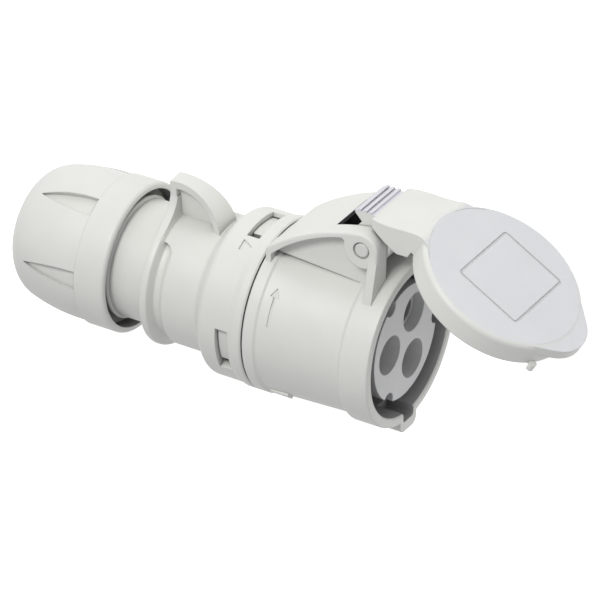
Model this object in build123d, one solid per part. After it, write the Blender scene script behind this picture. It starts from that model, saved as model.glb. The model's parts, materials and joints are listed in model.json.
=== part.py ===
from build123d import *
import math
import os

# Industrial cable coupler, in millimetres.
# While it is modelled, X runs along the coupler towards its mouth, Z points to the lid's hinge,
# and X is 0 at the joint between the two housings. The last lines lay it on its side.

# Front housing: shroud, flange and the spigot that the rear housing turns on
MOUTH_X = 46.5
MOUTH_R = 25.5
BAND_R = MOUTH_R + 3.4
BAND_LEN = 11.5
BARREL_REAR_R = MOUTH_R + 2.9
BARREL_FRONT_R = MOUTH_R + 1.8
FLANGE_R = BARREL_REAR_R + 0.9
FLANGE_LEN = 4.7
BULKHEAD_X = 7.0
BULKHEAD_T = 3.0
SPIGOT_LEN = 14.0
SPIGOT_R = FLANGE_R - 4.1
SPIGOT_WALL = 2.5
KEY_W = 6.6
KEYWAY_LEN = 10.0
KEY_R = BAND_R - 0.3
KEY_CORNER_R = 1.2
KEY_RIDGE_W = 10.4
KEY_RIDGE_R = BAND_R + 3.3
KEY_RIDGE_EDGE_R = 2.6
RIM_SOFT = 0.5
EASE_STEP_R = 0.65
PAD_X = 6.0
PAD_LEN = 6.8
PAD_H = 0.6
PAD_START_DEG = 217.0
PAD_ARC = 8.0

# Twist lock between the housings
TURN_CLEAR = 0.08
JOINT_GAP = 0.5
LUG_COUNT = 4
LUG_ARC = 28.0
LUG_PLAY = 6.5
LUG_X = -10.0
LUG_LEN = 4.0
LUG_H = 1.7
LUG_CLEAR = 0.3
TWIST_DEG = 30.0
TWIST_SPARE_DEG = 1.5
ORING_R = 0.75
ORING_FROM_END = 1.9
ORING_SIDE_CLEAR = 0.1
ORING_SIDES = 12
WINDOW_ARC = 34.0
WINDOW_STARTS = (-18.5, 59.5, 161.5, 239.5)

# Hinge bracket on the front housing
BRACKET_W = 32.0
EAR_INNER_Y = 9.6
WEB_Y = 12.0
WEB_T = 2.0
WEB_SLOT_H = 1.3
WEB_SLOT_END_X = 33.9
ROOF_T = 1.9
ROOF_END_X = 23.3
BRACKET_FRONT_X = 41.8
FRONT_PLATE_T = 3.2
FRONT_PLATE_TOP_Z = 36.0
FRONT_PLATE_FOOT_DEG = 43.1
BOSS_R = 6.4
RECESS_CORNER_R = 1.3
PIN_X = 36.0
PIN_Z = 39.2
PIN_R = 2.5
PIN_CLEAR = 0.06

# Lid, closed over the mouth and then swung open
LID_R = BAND_R - 0.3
LID_GAP = 0.3
LID_DEPTH = 8.2
LID_PLATE_T = 2.2
LID_WALL = 1.9
LID_EDGE_R = 1.7
LIP_R = 14.2
LIP_REACH = LID_R + 4.8
LIP_DROP = 0.4
LIP_STEP = 1.0
LIP_T = 3.4
NIB_R = 1.4
NIB_LEN = 1.6
NIB_SPAN_DEG = 28.3
NIB_EDGE = 0.9
LID_OPEN_DEG = 60.0
ARM_TOP_Z = 49.2
ARM_T = 2.6
ARM_HALF_W = 12.9
ARM_REAR_HALF_W = 11.6
ARM_START = 1.0
ARM_FLARE = 5.6
CHEEK_T = 2.0
LOBE_DROP = 9.2
LOBE_R = 2.6
EAR_FRONT_CLEAR = 0.4
HEEL_REAR_X = 29.6
RIDGE_COUNT = 3
RIDGE_FIRST_X = 30.6
RIDGE_PITCH = 2.1
RIDGE_W = 1.1
RIDGE_H = 0.7
KNUCKLE_R = 7.0
HINGE_SIDE_CLEAR = 0.3
SEAL_OUTER_R = LID_R - 2.0
SEAL_W = 1.9
SEAL_T = 2.0
SEAL_SHELF_T = 1.2

# Torsion spring round the hinge pin
SPRING_WIRE_R = 0.55
SPRING_WIRE_SIDES = 8
SPRING_COIL_R = 3.7
SPRING_TURNS = 4
SPRING_PITCH = 1.5
SPRING_POCKET_W = 8.6
SPRING_UP_LEG = 2.6
SPRING_DOWN_LEG = 11.0

# Contact insert
INSERT_R = MOUTH_R - 5.4
INSERT_RECESS = 2.1
INSERT_FLANGE_R = SPIGOT_R - SPIGOT_WALL - 0.3
INSERT_FLANGE_T = 3.0
CONTACT_PITCH_R = 10.1
WELL_R = 6.75
EMPTY_MOUTH_LEN = 3.9
EMPTY_HOLE_R = 5.0
EMPTY_FLOOR_X = 10.0
WELL_FLOOR_X = 13.0
FIRST_CONTACT_DEG = 30.0
NOTCH_R = 2.9
PART_CLEAR = 0.1

# Contacts and their terminals
SLEEVE_R = 5.0
SLEEVE_BORE_R = 3.1
SLEEVE_FRONT_X = 32.0
SLIT_W = 0.8
SLIT_LEN = 14.0
RING_R = 5.7
RING_LEN = 3.0
CLAMP_R = 6.2
CLAMP_LEN = 10.5
WIRE_HOLE_R = 2.6
TERMINAL_SCREW_R = 1.9
TERMINAL_SCREW_LEN = 7.0
SLOT_W = 0.8

# Retainer, a cap that closes the insert behind the terminals
CAP_R = INSERT_FLANGE_R - 1.6
CAP_LEN = 12.0
CAP_WALL = 2.2
RETAINER_T = 2.0
RETAINER_SIDE_R = 16.5
RETAINER_SCREW_R = 1.3
RETAINER_HEAD_R = 2.4
RETAINER_HEAD_T = 1.6
RETAINER_SCREW_LEN = 16.5
RETAINER_POST_R = 3.0

# Rear housing
COLLAR_LIP_R = FLANGE_R
COLLAR_R = COLLAR_LIP_R - 0.6
COLLAR_REAR_X = -21.0
COLLAR_SHOULDER_X = -15.5
BODY_R = COLLAR_R - 5.2
BODY_REAR_X = -34.0
GROOVE_R = BODY_R - 1.7
GROOVE_FREE_ARC = 66.0
FLANGE_DISC_R = BODY_R + 1.9
FLANGE_DISC_FRONT_X = -38.7
FLANGE_DISC_T = 2.8
NECK_R = 20.3
NECK_REAR_X = -58.0
NECK_LIP_R = NECK_R + 0.9
THREAD_R = NECK_R - 0.9
THREAD_REAR_X = -71.0
HOUSING_WALL = 2.3
NECK_WALL = 3.0

# Hand stop on the rear housing
STOP_DEG = -5.0
STOP_T = 2.4
STOP_REAR_HALF_W = 3.1
STOP_MID_HALF_W = 3.9
STOP_FOOT_HALF_W = 5.6
STOP_TOP_Z = 36.8
STOP_MID_X = -27.6
STOP_MID_Z = 33.4
STOP_FOOT_X = -21.5
STOP_WEB_T = 2.0

# Cable gland
NUT_END_X = -97.0
NUT_R = 25.4
NUT_REAR_R = 12.0
NUT_RING_R = NUT_R + 0.7
NUT_RING_X = -66.3
NUT_FRONT_X = -55.0
NUT_SKIRT_BORE_R = NUT_RING_R - 2.2
NUT_THREAD_FRONT_X = -62.0
CABLE_HOLE_R = 8.5
CABLE_HOLE_LEN = 4.0
GRIP_COUNT = 6
GRIP_FIRST_DEG = 30.0
GRIP_DEPTH = 1.3
GRIP_W = 6.6
GRIP_LEN = 21.0
GRIP_REAR_R = 22.5
PRESSURE_R = 16.0
PRESSURE_T = 4.2
GLAND_GAP = 3.4
CAGE_R = 16.2
CAGE_WALL = 2.4
CAGE_FINGERS = 12
CAGE_SLIT_W = 1.2
CAGE_RIM_T = 3.0
GLAND_SEAL_BORE_R = 8.2


LEG_UP = (Align.CENTER, Align.CENTER, Align.MIN)
LEG_DOWN = (Align.CENTER, Align.CENTER, Align.MAX)


def polar(radius, degrees):
    """Point in the YZ plane, the angle taken from Z towards +Y."""
    angle = math.radians(degrees)
    return radius * math.sin(angle), radius * math.cos(angle)


def softened(points):
    """Closed outline; a point's third number is the radius that its corner is eased with, in short steps."""
    outline = []
    for index, point in enumerate(points):
        here = Vector(point[0], point[1])
        if len(point) == 2:
            outline.append(here)
            continue
        before = (Vector(*points[index - 1][:2]) - here).normalized()
        after = (Vector(*points[(index + 1) % len(points)][:2]) - here).normalized()
        half = math.radians(before.get_angle(after)) / 2
        centre = here + (before + after).normalized() * (point[2] / math.sin(half))
        spoke = here + before * (point[2] / math.tan(half)) - centre
        last = here + after * (point[2] / math.tan(half)) - centre
        steps = min(3, math.ceil(point[2] / EASE_STEP_R))
        for step in range(steps + 1):
            blend = spoke * (steps - step) + last * step
            outline.append(centre + blend.normalized() * point[2])
    return Polyline(*outline, close=True)


def turned(points):
    """Solid of revolution about X from (x, r) points, a third number eases that corner."""
    return revolve(Plane.XZ * make_face(softened(points)), Axis.X, 360)


def disc(x0, x1, radius, y=0.0, z=0.0):
    """Round bar along X from x0 to x1."""
    bar = Cylinder(radius, x1 - x0, align=(Align.CENTER, Align.CENTER, Align.MIN))
    return Pos(x0, y, z) * Rot(0, 90, 0) * bar


def tube(x0, x1, outer, inner, y=0.0, z=0.0):
    return disc(x0, x1, outer, y, z) - disc(x0 - 1, x1 + 1, inner, y, z)


def block(x0, x1, y0, y1, z0, z1):
    box = Box(x1 - x0, y1 - y0, z1 - z0, align=(Align.MIN, Align.MIN, Align.MIN))
    return Pos(x0, y0, z0) * box


def sector(x0, x1, inner, outer, start, arc):
    """Part of a tube along X, from the angle start over the given arc."""
    steps = [start + arc * part for part in (0.0, 0.25, 0.5, 0.75, 1.0)]
    reach = outer / math.cos(math.radians(arc / 8)) + 1
    corners = [(0, 0)] + [polar(reach, step) for step in steps]
    wedge = Pos(x0, 0, 0) * extrude(Plane.YZ * make_face(Polyline(*corners, close=True)), x1 - x0)
    return tube(x0, x1, outer, inner) & wedge


def side_plate(outline, y0, y1):
    """Plate from an outline in the XZ plane, between two distances across."""
    face = make_face(outline)
    plate = extrude(Plane.XZ * face, y1 - y0)
    return Pos(0, y1, 0) * plate


def bracket_outline(inset=0.0):
    """Side view of the hinge bracket, a rising roof line that rounds over the pin."""
    low = 14.0
    rear = (0.9 + inset, 29.6 - inset)
    crest = (PIN_X - 1.0, 44.9 - inset)
    front = (BRACKET_FRONT_X - inset, PIN_Z - 0.5)
    roof = ThreePointArc(rear, (16.5, 39.2 - inset), crest)
    nose = TangentArc(crest, front, tangent=roof % 1)
    sides = Polyline(front, (front[0], low), (rear[0], low), rear)
    return Curve() + [roof, nose, sides]


def hinge_bracket():
    half = BRACKET_W / 2
    shape = side_plate(bracket_outline(), -half, half)
    rims = [edge for edge in shape.edges() if abs(abs(edge.center().Y) - half) < 0.01 and edge.center().Z > 30]
    shape = fillet(rims, 0.8)
    hollow = side_plate(bracket_outline(ROOF_T), -WEB_Y + WEB_T, WEB_Y - WEB_T)
    shape -= hollow & block(0, PIN_X - BOSS_R - 2, -half, half, 0, 60)
    shape -= block(ROOF_END_X, 60, -EAR_INNER_Y, EAR_INNER_Y, 0, 60)
    boss = Pos(PIN_X, 0, PIN_Z) * Rot(90, 0, 0) * Cylinder(BOSS_R, BRACKET_W)
    recess = side_plate(bracket_outline(ROOF_T), WEB_Y, half + 1)
    recess &= block(ROOF_T, BRACKET_FRONT_X - ROOF_T, -half - 2, half + 2, 0, 60)
    recess -= boss
    recess = fillet(recess.edges().filter_by(Axis.Y), RECESS_CORNER_R)
    shape -= recess
    shape -= mirror(recess, Plane.XZ)
    shape -= web_slots()
    foot_y, foot_z = polar(BARREL_FRONT_R + 0.8, FRONT_PLATE_FOOT_DEG)
    plates = Polyline(
        (-half, FRONT_PLATE_TOP_Z), (-foot_y, foot_z), (foot_y, foot_z), (half, FRONT_PLATE_TOP_Z), close=True,
    )
    plate = Pos(BRACKET_FRONT_X - FRONT_PLATE_T, 0, 0) * extrude(Plane.YZ * make_face(plates), FRONT_PLATE_T)
    shape += plate - block(0, 60, -EAR_INNER_Y, EAR_INNER_Y, 0, 60)
    pin_hole = Pos(PIN_X, 0, PIN_Z) * Rot(90, 0, 0) * Cylinder(PIN_R, BRACKET_W + 2)
    return shape - pin_hole


def web_slots():
    """The gap that each web leaves over the barrel, narrower to the front."""
    gap = turned([
        (ROOF_T + 1, BARREL_FRONT_R - 2), (ROOF_T + 1, BARREL_REAR_R + WEB_SLOT_H),
        (WEB_SLOT_END_X, BARREL_FRONT_R + 0.2), (WEB_SLOT_END_X, BARREL_FRONT_R - 2),
    ])
    sides = block(0, WEB_SLOT_END_X, -WEB_Y - 0.5, WEB_Y + 0.5, 0, 60)
    sides -= block(0, WEB_SLOT_END_X, -WEB_Y + WEB_T + 0.5, WEB_Y - WEB_T - 0.5, 0, 60)
    return gap & sides


def lug_start(index):
    return WINDOW_STARTS[index] + LUG_PLAY


def front_housing():
    band_x = MOUTH_X - BAND_LEN
    outside = [
        (-SPIGOT_LEN, 0), (-SPIGOT_LEN, SPIGOT_R, RIM_SOFT), (0, SPIGOT_R), (0, FLANGE_R, RIM_SOFT),
        (FLANGE_LEN - 0.5, FLANGE_R, RIM_SOFT), (FLANGE_LEN, BARREL_REAR_R, RIM_SOFT),
        (band_x, BARREL_FRONT_R, 2 * RIM_SOFT), (band_x + 1.2, BAND_R, 2 * RIM_SOFT),
        (MOUTH_X, BAND_R, 2 * RIM_SOFT), (MOUTH_X, 0),
    ]
    shell = turned(outside) + (hinge_bracket() - disc(-20, MOUTH_X, BARREL_FRONT_R - 0.5))
    ridge = Pos(0, 0, -KEY_RIDGE_R) * block(band_x, MOUTH_X, -KEY_RIDGE_W / 2, KEY_RIDGE_W / 2, 0, 8)
    shell += fillet(ridge.edges().filter_by(Axis.X).group_by(Axis.Z)[0], KEY_RIDGE_EDGE_R)
    shell += sector(PAD_X, PAD_X + PAD_LEN, BARREL_FRONT_R - 0.5, BARREL_REAR_R + PAD_H, PAD_START_DEG, PAD_ARC)
    shell -= turned([
        (BULKHEAD_X + BULKHEAD_T, 0), (BULKHEAD_X + BULKHEAD_T, MOUTH_R), (MOUTH_X - RIM_SOFT, MOUTH_R),
        (MOUTH_X, MOUTH_R + RIM_SOFT), (MOUTH_X + 1, MOUTH_R + RIM_SOFT), (MOUTH_X + 1, 0),
    ])
    keyway = block(MOUTH_X - KEYWAY_LEN, MOUTH_X + 1, -KEY_W / 2, KEY_W / 2, -KEY_R, 0)
    keyway = fillet(keyway.edges().filter_by(Axis.X).group_by(Axis.Z)[0], KEY_CORNER_R)
    shell -= keyway - disc(0, MOUTH_X + 2, MOUTH_R - 1)
    shell -= disc(BULKHEAD_X - 1, MOUTH_X, INSERT_R + PART_CLEAR)
    shell -= disc(-SPIGOT_LEN - 1, BULKHEAD_X, SPIGOT_R - SPIGOT_WALL)
    for index in range(LUG_COUNT):
        shell += sector(LUG_X, LUG_X + LUG_LEN, SPIGOT_R - 0.5, SPIGOT_R + LUG_H, lug_start(index), LUG_ARC)
    shell -= oring_groove()
    return shell


def oring_centre():
    """X of the housing seal, and the radius of its centre line in the spigot's groove."""
    return -SPIGOT_LEN + ORING_FROM_END, SPIGOT_R + TURN_CLEAR / 2 - ORING_R


def oring_groove():
    x, radius = oring_centre()
    half = ORING_R + ORING_SIDE_CLEAR
    return tube(x - half, x + half, SPIGOT_R + 1, radius - ORING_R)


def housing_o_ring():
    x, radius = oring_centre()
    angles = [math.tau * (side + 0.5) / ORING_SIDES for side in range(ORING_SIDES)]
    return turned([(x + ORING_R * math.cos(angle), radius + ORING_R * math.sin(angle)) for angle in angles])


def rear_housing():
    bore_r = SPIGOT_R + TURN_CLEAR
    shoulder = -SPIGOT_LEN - JOINT_GAP
    disc_rear = FLANGE_DISC_FRONT_X - FLANGE_DISC_T
    outside = [
        (THREAD_REAR_X, 0), (THREAD_REAR_X, THREAD_R, 0.8), (NECK_REAR_X, THREAD_R),
        (NECK_REAR_X, NECK_LIP_R, RIM_SOFT), (NECK_REAR_X + 1.6, NECK_LIP_R, 0.4),
        (NECK_REAR_X + 2.2, NECK_R, 0.4),
        (disc_rear, NECK_R, 2.0), (disc_rear, FLANGE_DISC_R, 0.8), (FLANGE_DISC_FRONT_X, FLANGE_DISC_R, 1.1),
        (FLANGE_DISC_FRONT_X + 0.8, GROOVE_R, 1.2), (BODY_REAR_X - 1.6, GROOVE_R, 1.2),
        (BODY_REAR_X, BODY_R, 1.6), (COLLAR_REAR_X, BODY_R, 2.0), (COLLAR_SHOULDER_X - 1.0, COLLAR_R, 3.0),
        (COLLAR_SHOULDER_X + 10, COLLAR_R, 1.5), (COLLAR_SHOULDER_X + 12, COLLAR_LIP_R, 1.5),
        (-JOINT_GAP, COLLAR_LIP_R, RIM_SOFT), (-JOINT_GAP, 0),
    ]
    shell = turned(outside)
    filled_from = STOP_DEG - GROOVE_FREE_ARC / 2
    shell += sector(
        FLANGE_DISC_FRONT_X - 1, BODY_REAR_X + 2, GROOVE_R - 1, BODY_R, filled_from, GROOVE_FREE_ARC,
    )
    shell += hand_stop()
    shell -= disc(shoulder, 1, bore_r)
    shell -= turned([
        (shoulder + 1, 0), (shoulder + 1, BODY_R - HOUSING_WALL), (BODY_REAR_X, BODY_R - HOUSING_WALL),
        (BODY_REAR_X - 5, NECK_R - NECK_WALL), (THREAD_REAR_X + CAGE_RIM_T + 6, NECK_R - NECK_WALL),
        (THREAD_REAR_X + CAGE_RIM_T + 3, GLAND_SEAL_BORE_R + 3), (THREAD_REAR_X - 1, GLAND_SEAL_BORE_R + 3),
        (THREAD_REAR_X - 1, 0),
    ])
    shell -= disc(THREAD_REAR_X - 1, THREAD_REAR_X + CAGE_RIM_T, CAGE_R + PART_CLEAR)
    shell -= bayonet_paths()
    window_front = LUG_X + LUG_LEN + LUG_CLEAR
    for start in WINDOW_STARTS:
        shell -= sector(LUG_X - LUG_CLEAR, window_front, SPIGOT_R - 1, COLLAR_R + 2, start, WINDOW_ARC)
    return shell


def bayonet_paths():
    """Room for each lug: its way in from the front, and its turn to the locked place."""
    outer = SPIGOT_R + LUG_H + LUG_CLEAR
    x0 = LUG_X - LUG_CLEAR
    x1 = LUG_X + LUG_LEN + LUG_CLEAR
    room = Part()
    for index in range(LUG_COUNT):
        start = lug_start(index) - TWIST_SPARE_DEG
        arc = LUG_ARC + 2 * TWIST_SPARE_DEG
        room += sector(x0, x1, SPIGOT_R - 1, outer, start, arc + TWIST_DEG)
        room += sector(x0, 1, SPIGOT_R - 1, outer, start + TWIST_DEG, arc)
    return room


def stop_outline(inset):
    """Side view of the hand stop, a rear wall on the flange and an arc that comes down on the body."""
    rear_x = FLANGE_DISC_FRONT_X - FLANGE_DISC_T + inset
    crest = (rear_x, STOP_TOP_Z - inset)
    foot = (STOP_FOOT_X - inset, GROOVE_R - 1)
    middle = (STOP_MID_X - inset * 0.7, STOP_MID_Z - inset * 0.8)
    arc = ThreePointArc(crest, middle, foot)
    return arc + Polyline(foot, (rear_x, GROOVE_R - 1), crest)


def stop_plan():
    """The hand stop from above, wider towards its foot in front."""
    rear_x = FLANGE_DISC_FRONT_X - FLANGE_DISC_T
    front_x = STOP_FOOT_X + 1
    side = Spline((rear_x, STOP_REAR_HALF_W), (STOP_MID_X, STOP_MID_HALF_W), (front_x, STOP_FOOT_HALF_W))
    other = mirror(side, Plane.XZ)
    return Curve() + [side, Line(side @ 1, other @ 1), other, Line(other @ 0, side @ 0)]


def flange_flare():
    """The flange's rim, drawn up at both sides into the hand stop's rear wall."""
    side = Spline((12.2, 22.0), (7.6, 25.1), (4.7, 28.0), (STOP_REAR_HALF_W, 31.4))
    other = mirror(side, Plane.YZ)
    outline = Curve() + [side, Line(side @ 1, other @ 1), other, Line(other @ 0, side @ 0)]
    face = Plane.YZ * make_face(outline)
    return Pos(FLANGE_DISC_FRONT_X - FLANGE_DISC_T, 0, 0) * extrude(face, FLANGE_DISC_T)


def hand_stop():
    """Curved stop for the hand, with a web under its arc."""
    outer = side_plate(stop_outline(0.0), -20, 20) & extrude(make_face(stop_plan()), STOP_TOP_Z + 5)
    inner = side_plate(stop_outline(STOP_T), -20, 20)
    inner -= block(-60, 0, -STOP_WEB_T / 2, STOP_WEB_T / 2, 0, 60)
    return Rot(-STOP_DEG, 0, 0) * (outer - inner + flange_flare())


def nut_outline():
    """Half section of the nut's outside: a domed rear, a slightly tapered grip and a ring in front."""
    dome_end = (NUT_END_X + 9, NUT_R - 2.3)
    grip_end = (NUT_RING_X, NUT_R)
    rear = Polyline((NUT_END_X, 0), (NUT_END_X, NUT_REAR_R))
    dome = ThreePointArc((NUT_END_X, NUT_REAR_R), (NUT_END_X + 2.6, NUT_REAR_R + 6.9), dome_end)
    grip = ThreePointArc(dome_end, (NUT_END_X + 17.5, NUT_R - 0.5), grip_end)
    edge = 1.3
    ring = Polyline(grip_end, (NUT_RING_X + 0.3, NUT_RING_R), (NUT_FRONT_X - edge, NUT_RING_R))
    slant = edge * (1 - math.sqrt(0.5))
    rim = ThreePointArc(ring @ 1, (NUT_FRONT_X - slant, NUT_RING_R - slant), (NUT_FRONT_X, NUT_RING_R - edge))
    front = Polyline(rim @ 1, (NUT_FRONT_X, 0), (NUT_END_X, 0))
    return Curve() + [rear, dome, grip, ring, rim, front]


def grip_scoop(index):
    """Leaf-shaped recess in the nut's flank, pointed at the rear and square at the ring."""
    front = NUT_RING_X - 0.2
    rear = front - GRIP_LEN
    side = ThreePointArc((rear, 0), (rear + GRIP_LEN * 0.45, GRIP_W * 0.36), (front, GRIP_W / 2))
    other = mirror(side, Plane.XZ)
    prism = extrude(make_face(Curve() + [side, Line(side @ 1, other @ 1), other]), NUT_R + 5)
    core = turned([
        (rear - 1, 0), (rear - 1, GRIP_REAR_R), (rear, GRIP_REAR_R), (front, NUT_R - GRIP_DEPTH), (front, 0),
    ])
    return Rot(360.0 / GRIP_COUNT * index + GRIP_FIRST_DEG, 0, 0) * (prism - core)


def gland_nut():
    shell = revolve(Plane.XZ * make_face(nut_outline()), Axis.X, 360)
    for index in range(GRIP_COUNT):
        shell -= grip_scoop(index)
    bore_r = THREAD_R + TURN_CLEAR
    inner_end = NUT_END_X + CABLE_HOLE_LEN
    shell -= turned([
        (inner_end, 0), (inner_end, PRESSURE_R + PART_CLEAR), (inner_end + PRESSURE_T, PRESSURE_R + PART_CLEAR),
        (inner_end + PRESSURE_T + 3, bore_r), (NUT_THREAD_FRONT_X, bore_r),
        (NUT_THREAD_FRONT_X + 1.5, NUT_SKIRT_BORE_R), (NUT_FRONT_X + 1, NUT_SKIRT_BORE_R), (NUT_FRONT_X + 1, 0),
    ])
    return shell - disc(NUT_END_X - 1, inner_end + 1, CABLE_HOLE_R)


def pressure_ring():
    x0 = NUT_END_X + CABLE_HOLE_LEN
    return turned([
        (x0, CABLE_HOLE_R + 0.5), (x0, PRESSURE_R), (x0 + PRESSURE_T, PRESSURE_R),
        (x0 + PRESSURE_T, PRESSURE_R - 1.6), (x0 + 2.0, CABLE_HOLE_R + 0.5),
    ])


def cage_rear_x():
    return NUT_END_X + CABLE_HOLE_LEN + PRESSURE_T + GLAND_GAP


def gland_cage():
    rim_x = THREAD_REAR_X
    rear = cage_rear_x()
    ring = tube(rear, rim_x + CAGE_RIM_T, CAGE_R - 0.9, CAGE_R - CAGE_WALL)
    ring += tube(rim_x, rim_x + CAGE_RIM_T, CAGE_R, CAGE_R - CAGE_WALL)
    for index in range(CAGE_FINGERS):
        slit = block(rear - 1, rim_x - 1.5, -CAGE_SLIT_W / 2, CAGE_SLIT_W / 2, 0, CAGE_R + 1)
        ring -= Rot(360.0 / CAGE_FINGERS * index, 0, 0) * slit
    return ring


def gland_seal():
    rear = cage_rear_x() + 1.0
    outer = CAGE_R - CAGE_WALL - PART_CLEAR
    return turned([
        (rear, GLAND_SEAL_BORE_R + 1.0), (rear, outer - 1.0), (rear + 1.0, outer),
        (THREAD_REAR_X + CAGE_RIM_T, outer), (THREAD_REAR_X + CAGE_RIM_T, GLAND_SEAL_BORE_R + 1.2),
        (THREAD_REAR_X + CAGE_RIM_T - 1.2, GLAND_SEAL_BORE_R), (rear + 1.0, GLAND_SEAL_BORE_R),
    ])


def contact_places():
    """The two fitted chambers; the third, at the first angle, stays empty."""
    return [polar(CONTACT_PITCH_R, FIRST_CONTACT_DEG + 120 * step) for step in (1, 2)]


def contact_insert():
    """Front carrier: the wells and the empty chamber go straight through it."""
    face_x = MOUTH_X - INSERT_RECESS
    body = disc(WELL_FLOOR_X, face_x, INSERT_R)
    for step in range(3):
        y, z = polar(INSERT_R, FIRST_CONTACT_DEG + 60 + 120 * step)
        body -= disc(WELL_FLOOR_X - 1, face_x + 1, NOTCH_R, y, z)
    for y, z in contact_places():
        body -= disc(WELL_FLOOR_X - 1, face_x + 1, WELL_R, y, z)
    y, z = polar(CONTACT_PITCH_R, FIRST_CONTACT_DEG)
    body -= disc(face_x - EMPTY_MOUTH_LEN, face_x + 1, WELL_R, y, z)
    return body - disc(WELL_FLOOR_X - 1, face_x, EMPTY_HOLE_R, y, z)


def terminal_block():
    """Rear carrier, a flanged disc that holds the sleeves."""
    rear = BULKHEAD_X - INSERT_FLANGE_T
    body = disc(rear, WELL_FLOOR_X, INSERT_R) + disc(rear, BULKHEAD_X, INSERT_FLANGE_R)
    y, z = polar(CONTACT_PITCH_R, FIRST_CONTACT_DEG)
    body -= disc(EMPTY_FLOOR_X, WELL_FLOOR_X + 1, EMPTY_HOLE_R, y, z)
    for y, z in contact_places():
        body -= disc(rear - 1, WELL_FLOOR_X + 1, SLEEVE_R + PART_CLEAR / 2, y, z)
    for y, z in retainer_places():
        body -= disc(rear - 1, rear - CAP_LEN + RETAINER_SCREW_LEN, RETAINER_SCREW_R, y, z)
    return body


def terminal_screw_x():
    return BULKHEAD_X - INSERT_FLANGE_T - CLAMP_LEN * 0.5


def terminal_direction(y, z):
    """Outward unit direction from the axis at a contact."""
    size = math.hypot(y, z)
    return y / size, z / size


def radial_bar(x, y, z, start, length, radius):
    """Round bar that points outwards from a contact's centre line."""
    uy, uz = terminal_direction(y, z)
    plane = Plane(origin=(x, y + uy * start, z + uz * start), z_dir=(0, uy, uz), x_dir=(1, 0, 0))
    return plane * Cylinder(radius, length, align=(Align.CENTER, Align.CENTER, Align.MIN))


def terminal_access(y, z):
    return radial_bar(terminal_screw_x(), y, z, 4, 14, TERMINAL_SCREW_R + 0.9)


def contact_sleeve(y, z):
    rear = BULKHEAD_X - INSERT_FLANGE_T
    sleeve = disc(rear, SLEEVE_FRONT_X, SLEEVE_R, y, z)
    sleeve = chamfer(sleeve.edges().group_by(Axis.X)[-1], 0.5)
    sleeve += disc(rear - CLAMP_LEN, rear, CLAMP_R, y, z)
    sleeve -= disc(WELL_FLOOR_X, SLEEVE_FRONT_X + 1, SLEEVE_BORE_R, y, z)
    uy, uz = terminal_direction(y, z)
    slit_rear = SLEEVE_FRONT_X - SLIT_LEN
    slit = block(slit_rear, SLEEVE_FRONT_X + 1, -SLIT_W / 2, SLIT_W / 2, -SLEEVE_R - 1, SLEEVE_R + 1)
    sleeve -= Pos(0, y, z) * Rot(-math.degrees(math.atan2(uy, uz)) + 90, 0, 0) * slit
    groove_x = SLEEVE_FRONT_X - 5.0
    sleeve -= tube(groove_x, groove_x + RING_LEN, SLEEVE_R + 1, SLEEVE_R - 0.4, y, z)
    sleeve -= disc(rear - CLAMP_LEN - 1, rear - 1.5, WIRE_HOLE_R, y, z)
    return sleeve - radial_bar(terminal_screw_x(), y, z, 0, 12, TERMINAL_SCREW_R)


def contact_spring_ring(y, z):
    groove_x = SLEEVE_FRONT_X - 5.0
    ring = tube(groove_x + 0.1, groove_x + RING_LEN - 0.1, RING_R, SLEEVE_R - 0.35, y, z)
    gap = block(groove_x - 1, groove_x + RING_LEN + 1, -0.7, 0.7, 0, RING_R + 1)
    return ring - Pos(0, y, z) * gap


def terminal_screw(y, z):
    x = terminal_screw_x()
    start = WIRE_HOLE_R + 0.2
    screw = radial_bar(x, y, z, start, TERMINAL_SCREW_LEN, TERMINAL_SCREW_R - 0.05)
    uy, uz = terminal_direction(y, z)
    top = start + TERMINAL_SCREW_LEN
    plane = Plane(origin=(x, y + uy * top, z + uz * top), z_dir=(0, uy, uz), x_dir=(1, 0, 0))
    return screw - plane * Box(2 * TERMINAL_SCREW_R + 1, SLOT_W, 2.0)


def retainer_places():
    return [polar(CONTACT_PITCH_R, FIRST_CONTACT_DEG), polar(RETAINER_SIDE_R, FIRST_CONTACT_DEG + 180)]


def insert_retainer():
    """Cap round the terminals: a ring wall with two screw posts, and a floor that the wires come in through."""
    front = BULKHEAD_X - INSERT_FLANGE_T
    floor = front - CAP_LEN
    rear = floor - RETAINER_T
    cap = disc(rear, front, CAP_R) - disc(floor, front + 1, CAP_R - CAP_WALL)
    for y, z in contact_places():
        cap += disc(rear, front - CLAMP_LEN, WIRE_HOLE_R + 2.6, y, z)
        cap -= disc(rear - 1, front, WIRE_HOLE_R + 1.2, y, z)
        cap -= terminal_access(y, z)
    for y, z in retainer_places():
        cap += disc(rear, front, RETAINER_POST_R, y, z)
        cap -= disc(rear - 1, front + 1, RETAINER_SCREW_R + PART_CLEAR, y, z)
    return cap


def retainer_screws():
    """Both screws of the retainer, each a separate solid of one group."""
    seat = BULKHEAD_X - INSERT_FLANGE_T - CAP_LEN - RETAINER_T
    screws = []
    for y, z in retainer_places():
        head = disc(seat - RETAINER_HEAD_T, seat, RETAINER_HEAD_R, y, z)
        shank = disc(seat, seat + RETAINER_SCREW_LEN, RETAINER_SCREW_R - 0.05, y, z)
        slot_x = seat - RETAINER_HEAD_T
        slot = block(slot_x - 1, slot_x + 0.8, y - 3, y + 3, z - SLOT_W / 2, z + SLOT_W / 2)
        screws.append(head + shank - slot)
    return Compound(children=screws)


def lid_swing(degrees):
    """Turns a closed lid about the hinge pin."""
    return Pos(PIN_X, 0, PIN_Z) * Rot(0, -degrees, 0) * Pos(-PIN_X, 0, -PIN_Z)


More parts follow.
